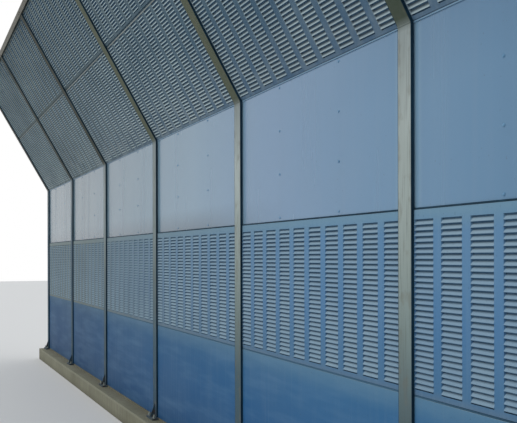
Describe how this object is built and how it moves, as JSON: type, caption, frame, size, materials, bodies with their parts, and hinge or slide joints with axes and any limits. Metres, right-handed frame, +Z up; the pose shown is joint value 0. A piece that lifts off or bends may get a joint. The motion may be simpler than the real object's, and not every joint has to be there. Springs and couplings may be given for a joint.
{
  "type": "noise barrier section",
  "caption": "Roadside noise barrier in bays: kneed steel H posts on a concrete plinth hold plain, louvred and clear panels, leaning towards the road above a knee, under a capping rail.",
  "frame": {"origin": "middle of the underside of the concrete plinth", "axes": "+X along the barrier, -Y towards the road, +Z up"},
  "size_m": [15.3, 1.4147, 5.2486],
  "materials": {
    "concrete": "weathered cast concrete",
    "post_paint": "light grey paint, grimy towards the foot",
    "panel_blue_foot": "satin blue powder coat, dusty",
    "panel_blue_louvred": "satin blue powder coat, pressed hoods",
    "panel_blue_tilted": "satin blue powder coat, pressed hoods",
    "clear_sheet": "light blue tinted clear plastic sheet with rain streaks",
    "frame_paint": "light blue paint on a folded channel",
    "closer_zinc": "dull galvanised sheet",
    "rubber_black": "matt black rubber",
    "rail_zinc": "dull, weathered galvanised steel"
  },
  "bodies": {
    "root": {"plinth": "concrete", "post_1": "post_paint", "post_2": "post_paint", "post_3": "post_paint", "post_4": "post_paint", "post_5": "post_paint", "post_6": "post_paint", "post_7": "post_paint", "foot_panel_1": "panel_blue_foot", "foot_panel_2": "panel_blue_foot", "foot_panel_3": "panel_blue_foot", "foot_panel_4": "panel_blue_foot", "foot_panel_5": "panel_blue_foot", "foot_panel_6": "panel_blue_foot", "louvred_panel_1": "panel_blue_louvred", "louvred_panel_2": "panel_blue_louvred", "louvred_panel_3": "panel_blue_louvred", "louvred_panel_4": "panel_blue_louvred", "louvred_panel_5": "panel_blue_louvred", "louvred_panel_6": "panel_blue_louvred", "clear_sheet_1": "clear_sheet", "clear_sheet_2": "clear_sheet", "clear_sheet_3": "clear_sheet", "clear_sheet_4": "clear_sheet", "clear_sheet_5": "clear_sheet", "clear_sheet_6": "clear_sheet", "tilted_panel_1": "panel_blue_tilted", "tilted_panel_2": "panel_blue_tilted", "tilted_panel_3": "panel_blue_tilted", "tilted_panel_4": "panel_blue_tilted", "tilted_panel_5": "panel_blue_tilted", "tilted_panel_6": "panel_blue_tilted", "crest_panel_1": "panel_blue_tilted", "crest_panel_2": "panel_blue_tilted", "crest_panel_3": "panel_blue_tilted", "crest_panel_4": "panel_blue_tilted", "crest_panel_5": "panel_blue_tilted", "crest_panel_6": "panel_blue_tilted", "sheet_frames": "frame_paint", "knee_closers": "closer_zinc", "post_seals": "rubber_black", "joint_gaskets": "rubber_black", "top_rails": "rail_zinc"}
  },
  "joints": []
}
